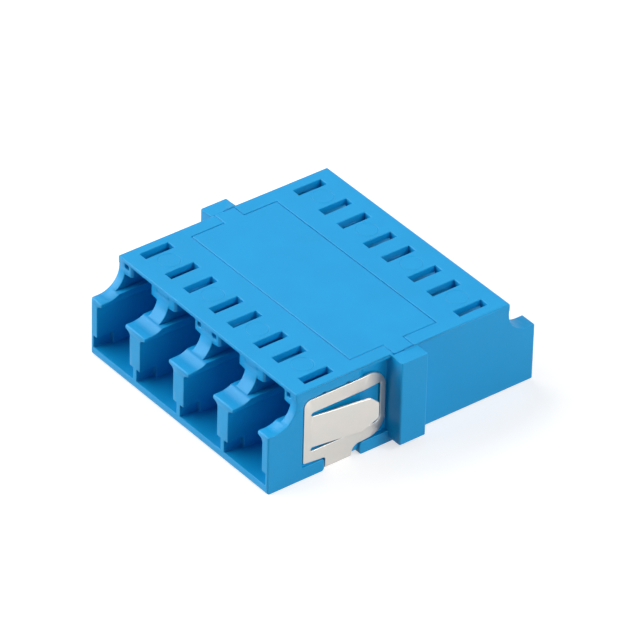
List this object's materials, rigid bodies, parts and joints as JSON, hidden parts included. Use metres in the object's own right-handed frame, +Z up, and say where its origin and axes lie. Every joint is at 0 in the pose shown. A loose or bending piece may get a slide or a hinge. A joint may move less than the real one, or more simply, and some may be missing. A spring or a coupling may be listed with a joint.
{
  "type": "lc fibre adapter",
  "caption": "Panel-mount fibre adapter that joins LC plugs end to end, with square ports on both sides, a small flange and a sprung steel panel clip.",
  "frame": {"origin": "under the middle of the adapter, on the plane of its underside", "axes": "+X across the ports, +Y along the fibres towards the half without the clip, +Z up towards the cover plate and latch slots"},
  "size_m": [0.0284, 0.0286, 0.0092],
  "materials": {
    "shell_plastic": "satin moulded",
    "holder_plastic": "satin moulded",
    "spring_steel": "rolled strip, lightly brushed",
    "zirconia": "ground"
  },
  "bodies": {
    "root": {"housing": "shell_plastic", "cover_plate": "shell_plastic", "panel_clip": "spring_steel", "sleeve_holder_1_front": "holder_plastic", "sleeve_holder_1_rear": "holder_plastic", "sleeve_holder_2_front": "holder_plastic", "sleeve_holder_2_rear": "holder_plastic", "alignment_sleeve_1": "zirconia", "alignment_sleeve_2": "zirconia", "alignment_sleeve_3": "zirconia", "alignment_sleeve_4": "zirconia"}
  },
  "joints": []
}
